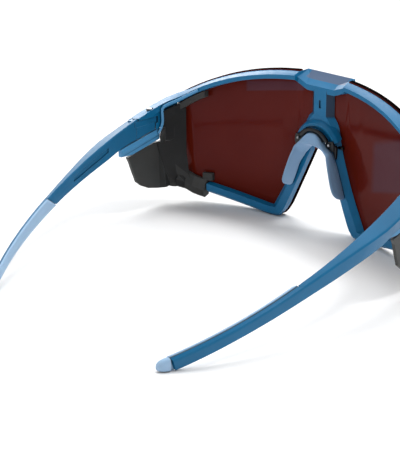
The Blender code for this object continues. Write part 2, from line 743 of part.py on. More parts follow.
def make_grip(sign, side):
    """Rubber grip: inner band and closed tip, one body."""
    band = [slanted(lambda v, crown=crown: grip_section(v, crown), y, slant)
            for y, slant, crown in GRIP_STATIONS]
    hinge = (sign * PIN_X, PIN_Y, 0)
    grip = add("temple_grip_" + side, loft(flip(band, sign)), MAT_RUBBER, hinge, smooth=35)
    join(grip, "tip_" + side, loft(flip(tip_sections(), sign)))


def make_hinge_pin(sign, side):
    add("hinge_pin_" + side, turned_on_hinge(sign, HINGE_PIN), MAT_STEEL, smooth=35)


# ------------------------------------------------------------- side shields
SHIELD_T = 1.3          # side shield wall
WALL_LOW_ZS = (8.2, 12.0, 17.0, 22.0, 27.6)
# Rear edge of the front wall above the fold: z, x, y
WALL_REAR = (
    (28.3, 62.35, 7.6), (31.4, 62.4, 7.4), (34.0, 62.4, 7.5), (36.4, 62.4, 8.15),
    (38.4, 62.35, 8.05), (40.4, 62.0, 7.6),
)
WALL_TOP_FRONT_Z, WALL_TOP_MIDDLE_Z = 43.3, 41.9  # the top edge rises forwards
# Wing: y, bottom z, top z
WING = (
    (11.4, 7.9, 11.6), (9.4, 7.4, 17.0), (6.4, 7.8, 27.6), (4.0, 8.3, 27.6), (0.0, 9.3, 26.9),
    (-3.4, 11.0, 26.2), (-6.0, 13.2, 25.6), (-8.0, 18.6, 25.1), (-9.3, 22.4, 24.8),
    (-10.2, 24.2, 24.6),
)
WING_FOLD_Y = 7.2       # ahead of this the wing turns inwards
WING_LEAN = 0.03        # inward lean of the wing's lower edge, per mm down
TOP_CLIP_XS = (49.6, 52.0, 54.5, 57.0, 59.6, 61.6)
BOTTOM_CLIP_XS = (50.8, 53.0, 55.5, 58.0, 60.2)
# Tab: x, distance behind the lens seat
TAB = ((48.6, 0.0), (52.4, 0.0), (52.4, 1.3), (48.6, 1.3))
TAB_Z = (10.2, 13.4)


def wall_sections():
    """Front wall, from the lens back to the fold, as loops at rising z."""
    rows = [(z, 63.7 - 0.0035 * (28.0 - z), 5.4 + (28.0 - z) * 0.27) for z in WALL_LOW_ZS]
    rows += WALL_REAR
    top = WALL_REAR[-1][0]
    out = []
    for z, rear_x, rear_y in rows:
        below = max(0.0, 22 - z)
        front_x, front_y = 58.3 - below * 0.13, 16.9 + below * 0.02
        dx, dy = rear_x - front_x, rear_y - front_y
        length = math.hypot(dx, dy)
        out_x, out_y = -dy / length * SHIELD_T, dx / length * SHIELD_T
        # the middle bows outwards by a quarter of the wall
        middle_x = (front_x + rear_x) / 2 + out_x * 0.25
        middle_y = (front_y + rear_y) / 2 + out_y * 0.25
        front_z, middle_z = (WALL_TOP_FRONT_Z, WALL_TOP_MIDDLE_Z) if z == top else (z, z)
        out.append([
            (front_x, front_y, front_z), (middle_x, middle_y, middle_z), (rear_x, rear_y, z),
            (rear_x + out_x, rear_y + out_y, z),
            (middle_x + out_x, middle_y + out_y, middle_z),
            (front_x + out_x, front_y + out_y, front_z),
        ])
    return out


def wing_sections():
    """Rear wing, as loops at falling y; each loop is a vertical strip."""
    out = []
    for y, bottom, top in WING:
        inner = 64.1 + 0.7 * (WING_FOLD_Y - y) / 17.5 - max(0.0, y - WING_FOLD_Y) * 0.24
        lean = WING_LEAN * (26 - bottom)
        out.append([
            (inner - lean, y, bottom), (inner, y, top),
            (inner + SHIELD_T, y, top), (inner + SHIELD_T - lean, y, bottom),
        ])
    return out


def top_clip_sections():
    """Bar under the brow bar."""
    out = []
    for x in TOP_CLIP_XS:
        rear_y = brow_y(x) + 0.9 - max(0.0, x - 59.6) * 0.9
        front_y = rear_y + 2.2
        z = brow_z(x) - BROW_H - 0.9
        out.append([(x, rear_y, z - 2.3), (x, rear_y, z + 0.4), (x, front_y, z),
                    (x, front_y, z - 2.3)])
    return out


def bottom_clip_sections():
    """Bar behind the lens's lower edge, outwards of the rim."""
    out = []
    for x in BOTTOM_CLIP_XS:
        front_y = seat_y(x)
        rear_y = front_y - (3.4 if x < 59 else 5.0)
        low = rim_z(x) - 2.4 + max(0, x - 55) * 0.35
        out.append([
            (x, front_y, low + 0.9), (x, front_y, low + 7.2), (x, front_y - 1.3, low + 7.2),
            (x, rear_y, low + 3.4), (x, rear_y, low + 0.8), (x, rear_y + 0.9, low),
        ])
    return out


def make_shield(sign, side):
    shield = add("side_shield_" + side, loft(flip(wall_sections(), sign)), MAT_SHIELD)
    for name, sections in (("wing_", wing_sections()), ("top_clip_", top_clip_sections()),
                           ("bottom_clip_", bottom_clip_sections())):
        join(shield, name + side, loft(flip(sections, sign)))
    outline = [(x, seat_y(x) - behind) for x, behind in TAB]
    join(shield, "tab_" + side, prism(outline, *TAB_Z, sign))


# ---------------------------------------------------------- shield carriers
RAIL_YS = (7.0, 4.0, 0.0, -4.0, -8.0, -11.0, -12.8, -14.2)
RAIL_H = 4.8            # lessens behind y = -8
HOOP_BROW_XS = (51.6, 54.5, 57.5)  # the hoop follows the brow crease here
# The rest of the hoop's centre line: x, y, z
HOOP_END = (
    (59.1, 11.85, 44.55), (60.6, 8.6, 43.55), (61.35, 6.3, 42.65), (61.9, 6.8, 40.4),
    (62.4, 7.5, 38.0), (62.45, 7.6, 36.4), (62.4, 6.8, 34.0), (63.25, 5.9, 31.4),
)
HOOP_POINTS = 19
HOOP_HALF_W, HOOP_HALF_H = 0.42, 0.5
HOOP_FACING = (-0.55, -0.83, 0.0)


def rail_sections():
    """Rail under the temple that the shield's wing hangs from."""
    out = []
    for y in RAIL_YS:
        top = 32.0 + 0.217 * y
        height = RAIL_H - max(0.0, -8.0 - y) * 0.28
        x = 63.4 + 0.7 * (7.0 - y) / 21.0
        out.append([
            (x + 0.5, y, top - height), (x + 0.2, y, top - height * 0.5),
            (x, y, top - height * 0.5 + 0.25), (x + 0.3, y, top), (x + 2.0, y, top),
            (x + 2.0, y, top - height),
        ])
    return out


def hoop_sections():
    """Edge strip that runs behind the brow, round the hinge block and down."""
    path = [(x - 0.35, brow_y(x) - 0.55, brow_z(x) - 0.85) for x in HOOP_BROW_XS]
    points = resample(path + list(HOOP_END), HOOP_POINTS)
    out = []
    for i, point in enumerate(points):
        before, after = points[max(i - 1, 0)], points[min(i + 1, len(points) - 1)]
        tangent = (after - before).normalized()
        side = Vector(HOOP_FACING)
        side = (side - tangent * side.dot(tangent)).normalized()
        up = tangent.cross(side).normalized()
        out.append([point + side * HOOP_HALF_W * across + up * HOOP_HALF_H * rise
                    for across, rise in ((-1, -1), (1, -1), (1, 1), (-1, 1))])
    return out


def make_carrier(sign, side):
    carrier = add("shield_carrier_" + side, loft(flip(rail_sections(), sign)), MAT_TRIM)
    join(carrier, "hoop_" + side, loft(flip(hoop_sections(), sign)))


# ---------------------------------------------------------------- nose parts
LEG_AXIS = (7.9, 27.0, 32.4)  # where each soft leg bends
# Corners of the nose pad's section at stations from the middle of the saddle
# to the foot of the leg: front outer, rear outer, rear inner, front inner.
PAD = (
    ((0.0, 28.5, 40.3), (0.0, 25.6, 40.2), (0.0, 23.9, 36.3), (0.0, 28.4, 34.7)),
    ((1.8, 28.5, 39.8), (2.2, 25.2, 39.7), (2.0, 23.9, 36.2), (1.0, 28.5, 34.4)),
    ((3.1, 28.5, 38.6), (3.9, 25.0, 38.2), (4.0, 24.0, 36.0), (1.9, 28.6, 33.8)),
    ((3.95, 28.5, 36.9), (5.3, 25.0, 36.6), (5.9, 24.2, 35.4), (2.7, 28.7, 33.0)),
    ((5.0, 28.6, 35.0), (7.1, 25.6, 34.9), (7.1, 24.4, 34.4), (3.7, 28.9, 31.9)),
    ((7.6, 28.8, 33.4), (8.7, 26.0, 33.7), (7.9, 24.3, 33.2), (5.0, 29.0, 30.5)),
    ((8.9, 29.0, 31.2), (9.1, 25.2, 32.0), (8.35, 23.9, 31.6), (5.95, 29.1, 29.1)),
    ((9.8, 29.1, 29.2), (9.7, 24.6, 30.0), (9.0, 23.5, 29.8), (6.9, 29.1, 27.7)),
    ((10.7, 29.1, 26.9), (10.4, 24.1, 27.6), (9.75, 23.2, 27.5), (7.9, 29.1, 26.1)),
    ((11.6, 29.1, 24.3), (11.3, 23.7, 24.6), (10.7, 22.9, 24.5), (8.85, 29.1, 23.8)),
    ((12.6, 29.1, 21.4), (12.2, 23.5, 21.6), (11.6, 22.8, 21.5), (9.8, 29.1, 21.1)),
    ((13.5, 29.1, 18.6), (12.95, 23.7, 19.3), (12.35, 23.1, 19.2), (10.8, 29.1, 18.4)),
    ((14.2, 28.9, 16.3), (13.35, 24.2, 17.9), (12.8, 23.9, 17.8), (11.7, 28.9, 16.2)),
    ((14.2, 28.3, 15.6), (13.5, 25.0, 17.0), (13.1, 24.9, 17.0), (12.3, 28.3, 15.5)),
)
# Station numbers in PAD; a fraction lies between two rows
SADDLE_STATIONS = (0, 0.5, 1, 1.5, 2, 2.5, 3, 3.5, 4, 4.5, 5)
LEG_STATIONS = (5.24, 5.6, 6, 6.5, 7, 8, 9, 10, 11, 12, 13)

ARCH_Z = 36.3           # centre of the arched plate
ARCH_INNER = (4.9, 4.45)   # half width and height of its edges
ARCH_OUTER = (7.6, 5.7)
ARCH_START, ARCH_STEP, ARCH_POINTS = -74, 9.25, 17  # degrees from straight up

# Stud outlines: x, z
STUD_HEAD = ((5.7, 35.9), (5.7, 37.7), (9.1, 38.3), (9.6, 36.6), (9.6, 34.5), (8.6, 34.3),
             (6.9, 35.1))
STUD_TAIL = ((9.1, 35.6), (9.1, 36.4), (9.7, 36.5), (10.2, 35.6), (9.95, 31.1), (9.6, 31.0),
             (9.4, 33.8))
STUD = ((27.1, STUD_HEAD), (27.75, STUD_HEAD), (28.25, STUD_TAIL), (29.1, STUD_TAIL))  # y, outline
RIVET_AT = (7.6, 27.05, 36.7)
# Distance along the axis, radius
RIVET = ((0, 0.4), (0.15, 0.55), (0.45, 0.62), (0.8, 0.5), (0.98, 0.25))
NOSE_PIN = ((2.9, 0.42), (8.7, 0.42), (8.7, 0.7), (9.8, 0.7))


def pad_section(station):
    """Rounded section of the nose pad, three points to each side."""
    i = min(int(station), len(PAD) - 2)
    corners = [Vector(a).lerp(Vector(b), station - i) for a, b in zip(PAD[i], PAD[i + 1])]
    center = sum(corners, Vector()) / 4
    out = []
    for start, end in zip(corners, corners[1:] + corners[:1]):
        middle = start.lerp(end, 0.5)
        out.append(start.lerp(end, 0.16) * 0.97 + center * 0.03)
        out.append(middle + (middle - center) * 0.07)
        out.append(start.lerp(end, 0.84) * 0.97 + center * 0.03)
    return out


def make_saddle():
    right = [pad_section(station) for station in SADDLE_STATIONS]
    left = flip(right[1:], -1)[::-1]
    add("nose_saddle", loft(left + right), MAT_RUBBER, smooth=50)


def make_leg(sign, side):
    """Soft leg of the nose pad, from the saddle's end down beside the nose."""
    sections = [pad_section(station) for station in LEG_STATIONS]
    x, y, z = LEG_AXIS
    add("nose_leg_" + side, loft(flip(sections, sign)), MAT_RUBBER, (sign * x, y, z), smooth=50)


def make_arch():
    """Black arched plate over the saddle."""
    sections = []
    for k in range(ARCH_POINTS):
        angle = math.radians(ARCH_START + ARCH_STEP * k)
        (inner_x, inner_z), (outer_x, outer_z) = [
            (half * math.sin(angle), ARCH_Z + height * math.cos(angle))
            for half, height in (ARCH_INNER, ARCH_OUTER)
        ]
        crease_x = inner_x + (outer_x - inner_x) * 0.85
        crease_z = inner_z + (outer_z - inner_z) * 0.85
        sections.append([
            (inner_x, 26.0, inner_z), (inner_x, 27.0, inner_z), (outer_x, 27.0, outer_z),
            (outer_x, 26.2, outer_z), (crease_x, 25.95, crease_z),
        ])
    add("nose_wire", loft(sections), MAT_BLACK, smooth=40)


def make_nose_fixings(sign, side):
    stud = [[(x, y, z) for x, z in outline] for y, outline in STUD]
    add("nose_stud_" + side, loft(flip(stud, sign)), MAT_BLACK)
    x, y, z = RIVET_AT
    rivet = turned((sign * x, y, z), (0, -1, 0.1), RIVET, 16)
    add("nose_rivet_" + side, rivet, MAT_STEEL, smooth=60)
    add("nose_pin_" + side, along_nose_pin(sign, NOSE_PIN), MAT_BLACK, smooth=40)


# --------------------------------------------------------------------- build
clear_scene()
make_frame()
make_lens()
for sign, side in SIDES:
    make_temple(sign, side)
    make_grip(sign, side)
    make_hinge_pin(sign, side)
    make_shield(sign, side)
    make_carrier(sign, side)
make_saddle()
make_arch()
for sign, side in SIDES:
    make_leg(sign, side)
    make_nose_fixings(sign, side)
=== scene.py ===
"""Glasses with a tinted lens, side shields, a rubber nose pad and rubber temple grips.

The glasses stand on the floor at z = 0. In the wearer's terms x runs to the right, y forward
to the lens and z up. Shapes are written in plan millimetres, whose y = 0 lies DATUM_Y ahead of
the frame's origin. Pieces that come in pairs are written for the right and mirrored.
"""

import json
import math

import bmesh
import bpy
import numpy as np
from mathutils import Matrix, Vector

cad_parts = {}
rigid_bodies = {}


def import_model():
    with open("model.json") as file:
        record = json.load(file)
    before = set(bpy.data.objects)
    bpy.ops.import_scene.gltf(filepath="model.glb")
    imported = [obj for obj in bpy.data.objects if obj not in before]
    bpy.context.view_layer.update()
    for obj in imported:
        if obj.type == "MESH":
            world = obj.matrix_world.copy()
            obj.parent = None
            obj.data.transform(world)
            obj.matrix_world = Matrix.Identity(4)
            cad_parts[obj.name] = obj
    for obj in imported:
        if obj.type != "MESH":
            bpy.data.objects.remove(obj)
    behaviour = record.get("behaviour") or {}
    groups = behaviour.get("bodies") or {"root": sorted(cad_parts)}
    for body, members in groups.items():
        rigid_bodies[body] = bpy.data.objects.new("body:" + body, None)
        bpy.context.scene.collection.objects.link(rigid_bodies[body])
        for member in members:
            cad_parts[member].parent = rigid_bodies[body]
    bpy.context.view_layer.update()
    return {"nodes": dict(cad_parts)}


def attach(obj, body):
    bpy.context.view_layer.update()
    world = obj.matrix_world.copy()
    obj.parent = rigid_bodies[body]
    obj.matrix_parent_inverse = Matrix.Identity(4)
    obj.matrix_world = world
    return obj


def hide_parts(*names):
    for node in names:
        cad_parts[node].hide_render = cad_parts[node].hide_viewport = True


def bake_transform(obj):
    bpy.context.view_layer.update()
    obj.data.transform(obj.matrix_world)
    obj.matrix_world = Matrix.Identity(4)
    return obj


for stray in list(bpy.data.objects):
    bpy.data.objects.remove(stray, do_unlink=True)

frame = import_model()
scene = bpy.context.scene

MM = 0.001
DATUM_Y = 33.25
SIDES = (("right", 1), ("left", -1))


# ------------------------------------------------------------ shape helpers
def world(point):
    """Plan millimetres to metres in the scene."""
    x, y, z = point
    return Vector((x * MM, (y + DATUM_Y) * MM, z * MM))


def mirror(points, sign):
    """Points as written for sign 1, mirrored across x = 0 for sign -1."""
    return [(sign * x, y, z) for x, y, z in points]


def smoothstep(t):
    t = min(max(t, 0.0), 1.0)
    return t * t * (3 - 2 * t)


def spline(p0, p1, p2, p3, f):
    """Catmull-Rom curve between p1 and p2, at fraction f."""
    return 0.5 * (2 * p1 + (p2 - p0) * f + (2 * p0 - 5 * p1 + 4 * p2 - p3) * f ** 2
                  + (3 * p1 - p0 - 3 * p2 + p3) * f ** 3)


def skin(name, rings, material, sharp_angle):
    """Capped skin over equal rings, smooth but for edges above sharp_angle degrees."""
    count = len(rings[0])
    verts = [tuple(world(point)) for ring in rings for point in ring]
    faces = []
    for start in range(0, (len(rings) - 1) * count, count):
        for j in range(count):
            k = (j + 1) % count
            faces.append((start + j, start + k, start + count + k, start + count + j))
    faces.append(tuple(range(count))[::-1])
    faces.append(tuple(range(len(verts) - count, len(verts))))

    mesh = bpy.data.meshes.new(name)
    mesh.from_pydata(verts, [], faces)
    mesh.validate()
    bm = bmesh.new()
    bm.from_mesh(mesh)
    bmesh.ops.recalc_face_normals(bm, faces=bm.faces)
    for face in bm.faces:
        face.smooth = True
    limit = math.radians(sharp_angle)
    for edge in bm.edges:
        edge.smooth = not (len(edge.link_faces) == 2 and edge.calc_face_angle(0.0) > limit)
    bm.to_mesh(mesh)
    bm.free()
    mesh.materials.append(material)
    obj = bpy.data.objects.new(name, mesh)
    scene.collection.objects.link(obj)
    return obj


# ----------------------------------------------------------- shader helpers
def linear(r, g, b):
    """Display colour 0..255 as scene-linear RGBA."""
    out = []
    for c in (r, g, b):
        c /= 255.0
        out.append(c / 12.92 if c <= 0.04045 else ((c + 0.055) / 1.055) ** 2.4)
    return (*out, 1.0)


def scaled(colour, factor):
    """Darker or lighter version of a colour."""
    return tuple(min(1.0, c * factor) for c in colour[:3]) + (1.0,)


class Graph:
    """Short ways to add shader nodes to a tree; most return an output socket."""

    def __init__(self, tree):
        self.tree = tree
        tree.nodes.clear()

    def add(self, kind, inputs=None, **props):
        """New node; inputs are sockets to link or plain values."""
        node = self.tree.nodes.new("ShaderNode" + kind)
        for key, value in props.items():
            setattr(node, key, value)
        for key, value in (inputs or {}).items():
            if isinstance(value, bpy.types.NodeSocket):
                self.tree.links.new(value, node.inputs[key])
            else:
                node.inputs[key].default_value = value
        return node

    def calc(self, operation, a, b=0.0, c=0.0):
        return self.add("Math", {0: a, 1: b, 2: c}, operation=operation).outputs[0]

    def product(self, *factors):
        out = factors[0]
        for factor in factors[1:]:
            out = self.calc("MULTIPLY", out, factor)
        return out

    def dot(self, a, b):
        return self.add("VectorMath", {0: a, 1: b}, operation="DOT_PRODUCT").outputs["Value"]

    def ramp(self, value, off, on, low=0.0, high=1.0):
        """low where value is at off or beyond, high where it is at on or beyond."""
        node = self.add("MapRange", {"Value": value, "From Min": off, "From Max": on,
                                     "To Min": low, "To Max": high}, clamp=True)
        return node.outputs["Result"]

    def mix(self, factor, a, b):
        return self.add("Mix", {0: factor, 6: a, 7: b}, data_type="RGBA").outputs[2]

    def noise(self, vector, scale, detail, roughness=0.5, distortion=0.0):
        node = self.add("TexNoise", {"Vector": vector, "Scale": scale, "Detail": detail,
                                     "Roughness": roughness, "Distortion": distortion})
        return node.outputs["Fac"]

    def millimetres(self, location=(0.0, 0.0, 0.0)):
        """Object coordinates in millimetres, moved by location."""
        position = self.add("TexCoord").outputs["Object"]
        return self.add("Mapping", {"Vector": position, "Scale": (1000.0,) * 3,
                                    "Location": location}).outputs[0]

    def place(self):
        """Plan x, y and z of the shaded point."""
        return self.add("SeparateXYZ", {"Vector": self.millimetres((0.0, -DATUM_Y, 0.0))}).outputs

    def normal(self, axis):
        """One component of the flat normal."""
        flat = self.add("NewGeometry").outputs["True Normal"]
        return self.add("SeparateXYZ", {"Vector": flat}).outputs[axis]

    def facing(self, axis):
        """Size of one component of the flat normal."""
        return self.calc("ABSOLUTE", self.normal(axis))

    def edges(self, radius, off=0.01, on=0.16):
        """1 along convex and concave edges, 0 on faces."""
        bevel = self.add("Bevel", {"Radius": radius * MM}, samples=6).outputs[0]
        aligned = self.dot(bevel, self.add("NewGeometry").outputs["Normal"])
        return self.ramp(self.calc("SUBTRACT", 1.0, aligned), off, on)

    def bump(self, height, strength, distance_mm, **inputs):
        return self.add("Bump", {"Height": height, "Strength": strength,
                                 "Distance": distance_mm * MM, **inputs}).outputs[0]

    def principled(self, inputs):
        self.finish(self.add("BsdfPrincipled", inputs))

    def finish(self, shader, output="OutputMaterial"):
        self.tree.links.new(shader.outputs[0], self.add(output).inputs["Surface"])


def new_material(name):
    material = bpy.data.materials.new(name)
    material.use_nodes = True
    return material, Graph(material.node_tree)


# ---------------------------------------------------------------- materials
def plastic(name, base, rough, wear, specular, tone, grain=0.05, grain_scale=6.0, bump_mm=0.012,
            wear_amount=0.35, wear_radius=0.22, sheen=0.0, scratches=0.0, subsurface=0.0,
            painted_light=None):
    """Moulded plastic or rubber: cloudy colour, fine grain, uneven gloss, rubbed edges and
    painted shade in hollows.

    tone is the spread of the cloudy colour, wear the colour of rubbed edges, and the last
    argument a function that paints light and shade onto parts of the piece.
    """
    material, g = new_material(name)
    mm = g.millimetres()
    cloud = g.noise(mm, scale=0.07, detail=4.0, roughness=0.55)
    fine = g.noise(mm, scale=grain_scale, detail=3.0, roughness=0.6)
    smudge = g.noise(mm, scale=0.35, detail=6.0, roughness=0.65, distortion=0.4)

    light = scaled(base, 1 + tone)
    colour = g.mix(g.ramp(cloud, off=0.3, on=0.7), scaled(base, 1 - tone), light)
    colour = g.mix(g.ramp(fine, off=0.3, on=0.7, high=grain), colour, light)
    patchy = g.ramp(smudge, off=0.32, on=0.68, low=wear_amount * 0.45, high=wear_amount)
    colour = g.mix(g.product(g.edges(wear_radius), patchy), colour, wear)
    # Painted shade: hollows found by ambient occlusion are darkened toward a dark copy of the
    # base
    openness = g.add("AmbientOcclusion", {"Distance": 1.1 * MM}, samples=8).outputs["AO"]
    painted_hollow_shade = g.ramp(openness, off=0.35, on=0.85, low=0.75, high=0.0)
    colour = g.mix(painted_hollow_shade, colour, scaled(base, 0.12))
    # Painted light and shade from the function given for this piece
    if painted_light:
        colour = painted_light(g, colour)

    height = g.calc("MULTIPLY_ADD", fine, 1.0, g.calc("MULTIPLY", smudge, 0.6))
    if scratches:
        # Noise squeezed across y and z leaves long thin streaks
        streak = g.add("Mapping", {"Vector": mm, "Scale": (0.25, 6.0, 6.0),
                                   "Rotation": (0.1, 0.3, 0.7)}).outputs[0]
        lines = g.noise(streak, scale=1.4, detail=4.0)
        height = g.calc("MULTIPLY_ADD", g.ramp(lines, off=0.60, on=0.66), scratches, height)
    rounded = g.add("Bevel", {"Radius": 0.12 * MM}, samples=4).outputs[0]
    g.principled({
        "Base Color": colour,
        "Roughness": g.ramp(smudge, off=0.25, on=0.75, low=rough - 0.07, high=rough + 0.07),
        "Specular IOR Level": specular,
        "Coat Weight": 0.0,
        "Coat Roughness": 0.15,
        "Normal": g.bump(height, strength=0.6, distance_mm=bump_mm, Normal=rounded),
        "Sheen Weight": sheen,
        "Sheen Roughness": 0.4,
        "Subsurface Weight": subsurface,
        "Subsurface Scale": 0.8 * MM})
    return material


def frame_painted_light(g, colour):
    """Painted grey reflection on the centre plate, painted shade and dark reflection on the
    flanks of the post below it.
    """
    x, y, z = g.place()
    width = g.calc("ABSOLUTE", x)
    # Painted grey reflection on the top of the centre plate
    painted_plate_reflection = g.product(g.ramp(width, off=9.6, on=9.2), g.ramp(y, off=33.1, on=33.3),
                      g.ramp(z, off=58.6, on=58.9))
    colour = g.mix(g.product(painted_plate_reflection, 0.8), colour, linear(86, 96, 122))
    # Painted shade and dark reflection on the flanks of the post below the plate
    painted_flank_shade = g.product(g.ramp(g.facing(0), off=0.40, on=0.52), g.ramp(width, off=9.0, on=7.5),
                      g.ramp(y, off=26.0, on=27.0), g.ramp(z, off=45.6, on=46.6))
    return g.mix(g.product(painted_flank_shade, 0.85), colour, linear(30, 34, 52))


def trim_painted_shadow(g, colour):
    """Painted shadow line along the rail, 3 mm below a datum that climbs forward."""
    x, y, z = g.place()
    drop = g.calc("SUBTRACT", g.calc("MULTIPLY_ADD", y, 0.217, 32.0), z)
    distance = g.calc("ABSOLUTE", g.calc("SUBTRACT", drop, 3.0))
    # Painted shadow in the crease of the rail
    line = g.product(g.ramp(distance, off=0.24, on=0.10), g.ramp(y, off=-13.6, on=-12.6),
                     g.ramp(y, off=6.9, on=6.4))
    return g.mix(g.product(line, 0.75), colour, linear(30, 74, 110))


def shield_painted_light(g, colour):
    """Painted light and shade by facing: painted shade on faces turned forward or back, a paler
    painted grey on the squarest of them and painted light on faces that look up or down."""
    painted_wall_shade = g.ramp(g.facing(1), off=0.14, on=0.3)
    painted_square_light = g.ramp(g.facing(1), off=0.62, on=0.76)
    level = g.ramp(g.facing(2), off=0.34, on=0.46)
    # Painted shade on faces turned forward or back, painted light on the squarest and the level
    # faces
    colour = g.mix(painted_wall_shade, colour, linear(5, 5, 6))
    colour = g.mix(painted_square_light, colour, linear(46, 46, 45))
    return g.mix(level, colour, linear(74, 74, 73))


def lens_material():
    """Polished dark red polycarbonate with painted faint violet reflections and fingerprints."""
    material, g = new_material("lens_tint")
    mm = g.millimetres()
    cloud = g.noise(mm, scale=0.03, detail=2.0)
    smudge = g.noise(mm, scale=0.16, detail=5.0, distortion=0.6)
    dust = g.noise(mm, scale=9.0, detail=2.0)
    colour = g.mix(g.ramp(cloud, off=0.35, on=0.65), linear(89, 23, 12), linear(94, 27, 16))
    # Painted violet reflection at glancing angles
    painted_glancing_sheen = g.add("LayerWeight", {"Blend": 0.25}).outputs["Facing"]
    colour = g.mix(g.ramp(painted_glancing_sheen, off=0.35, on=1.0, high=0.6), colour, linear(88, 50, 70))
    edge = g.edges(0.3, off=0.02, on=0.2)
    colour = g.mix(g.product(edge, 0.5), colour, linear(30, 8, 8))

    # Painted violet reflections: a band at the upper left and a patch at the lower right, on the
    # rear face only
    x, y, z = g.place()

    def above(slope):
        """Height above a line through the origin that climbs with x."""
        return g.calc("MULTIPLY_ADD", x, -slope, z)

    band = g.product(g.ramp(x, off=-36.0, on=-35.0), g.ramp(x, off=-9.0, on=-10.5),
                     g.ramp(above(0.16), off=55.2, on=55.8),
                     g.ramp(above(0.14), off=59.4, on=58.4))
    patch = g.product(g.ramp(x, off=25.0, on=27.5), g.ramp(above(0.30), off=12.5, on=14.0),
                      g.ramp(above(0.35), off=33.0, on=30.5))
    rear = g.ramp(g.normal(1), off=-0.2, on=-0.4)
    painted_violet_reflection = g.product(g.calc("MAXIMUM", band, patch), rear, 0.75)
    colour = g.mix(painted_violet_reflection, colour, linear(84, 50, 60))

    # The cut rim is dark and dull
    rim = g.ramp(g.facing(2), off=0.12, on=0.25)
    colour = g.mix(rim, colour, linear(12, 6, 6))
    roughness = g.calc("ADD", g.ramp(smudge, off=0.35, on=0.7, low=0.07, high=0.15),
                       g.ramp(dust, off=0.6, on=0.8, high=0.04))
    g.principled({
        "Base Color": colour,
        "Roughness": g.calc("MULTIPLY_ADD", rim, 0.4, roughness),
        "Specular IOR Level": g.ramp(rim, off=0.0, on=1.0, low=0.13, high=0.0),
        "Specular Tint": (0.95, 0.65, 0.78, 1.0),
        "Normal": g.bump(smudge, strength=0.08, distance_mm=0.02)})
    return material


def metal(name, base, rough):
    """Steel with fine marks and patchy tarnish."""
    material, g = new_material(name)
    mm = g.millimetres()
    marks = g.noise(mm, scale=14.0, detail=3.0)
    tarnish = g.noise(mm, scale=1.3, detail=4.0)
    colour = g.mix(g.ramp(tarnish, off=0.35, on=0.65), scaled(base, 0.6), base)
    colour = g.mix(g.product(g.edges(0.12), 0.4), colour, (0.9, 0.9, 0.92, 1.0))
    g.principled({
        "Base Color": colour,
        "Metallic": 1.0,
        "Roughness": g.ramp(tarnish, off=0.3, on=0.7, low=rough - 0.06, high=rough + 0.1),
        "Normal": g.bump(marks, strength=0.4, distance_mm=0.01)})
    return material


BLUE_FINISH = dict(wear=linear(120, 170, 200), specular=0.30, tone=0.08, grain=0.08,
                   grain_scale=5.0, bump_mm=0.008, wear_amount=0.45, wear_radius=0.16,
                   scratches=0.4)
RUBBER_FINISH = dict(specular=0.35, tone=0.05, grain=0.12, grain_scale=9.0, bump_mm=0.02,
                     wear_amount=0.25, wear_radius=0.35, sheen=0.12, subsurface=0.05)

FRAME = plastic("frame_blue_front", linear(8, 108, 156), rough=0.36, painted_light=frame_painted_light,
                **BLUE_FINISH)
BLUE = plastic("frame_blue", linear(20, 102, 146), rough=0.38, **BLUE_FINISH)
TRIM = plastic("trim_blue", linear(78, 148, 196), rough=0.42, wear=linear(165, 195, 218),
               specular=0.35, tone=0.06, painted_light=trim_painted_shadow)
RUBBER = plastic("rubber_blue", linear(156, 188, 218), rough=0.62, wear=linear(175, 195, 220),
                 **RUBBER_FINISH)
PAD_RUBBER = plastic("rubber_nose", linear(128, 162, 196), rough=0.60,
                     wear=linear(165, 188, 214), **RUBBER_FINISH)
BLACK = plastic("black_plastic", linear(15, 15, 16), rough=0.34, wear=linear(60, 60, 64),
                specular=0.4, tone=0.2, wear_amount=0.25)
SHIELD = plastic("shield_black", linear(60, 61, 60), rough=0.50, wear=linear(84, 84, 86),
                 specular=0.4, tone=0.12, grain=0.2, grain_scale=4.0, bump_mm=0.02,
                 painted_light=shield_painted_light)
LENS = lens_material()
STEEL = metal("steel", linear(150, 152, 156), rough=0.30)
RIVET = metal("rivet_steel", linear(205, 205, 208), rough=0.30)

# ---------------------------------------------------------------- CAD pieces
BODY_MATERIALS = {
    "frame": FRAME, "temple_right": BLUE, "temple_left": BLUE, "lens": LENS,
    "side_shield_right": SHIELD, "side_shield_left": SHIELD,
    "shield_carrier_right": TRIM, "shield_carrier_left": TRIM}
FITTING_MATERIALS = (  # start of the name, material
    ("hinge_pin", STEEL), ("nose_rivet", RIVET),
    ("nose_stud", BLACK), ("nose_pin", BLACK), ("nose_wire", BLACK))
ROUNDED = {*BODY_MATERIALS, "nose_stud_right", "nose_stud_left"}


def crease_group(name, degrees):
    """Node group that shades everything smooth except edges above an angle."""
    group = bpy.data.node_groups.new(name, "GeometryNodeTree")
    for in_out in ("INPUT", "OUTPUT"):
        group.interface.new_socket("Geometry", in_out=in_out, socket_type="NodeSocketGeometry")
    add, link = group.nodes.new, group.links.new
    start = add("NodeGroupInput")
    end = add("NodeGroupOutput")
    faces = add("GeometryNodeSetShadeSmooth")
    edges = add("GeometryNodeSetShadeSmooth")
    edges.domain = "EDGE"
    angle = add("GeometryNodeInputMeshEdgeAngle")
    above = add("FunctionNodeCompare")
    above.data_type = "FLOAT"
    above.operation = "GREATER_THAN"
    above.inputs["B"].default_value = math.radians(degrees)
    faces.inputs["Shade Smooth"].default_value = True
    edges.inputs["Shade Smooth"].default_value = False
    link(start.outputs[0], faces.inputs["Geometry"])
    link(faces.outputs[0], edges.inputs["Geometry"])
    link(angle.outputs["Unsigned Angle"], above.inputs["A"])
    link(above.outputs[0], edges.inputs["Selection"])
    link(edges.outputs[0], end.inputs[0])
    return group


def material_for(name):
    if name in BODY_MATERIALS:
        return BODY_MATERIALS[name]
    for start, material in FITTING_MATERIALS:
        if name.startswith(start):
            return material
    return RUBBER


def modify(obj, name, kind, **settings):
    modifier = obj.modifiers.new(name, kind)
    for key, value in settings.items():
        setattr(modifier, key, value)


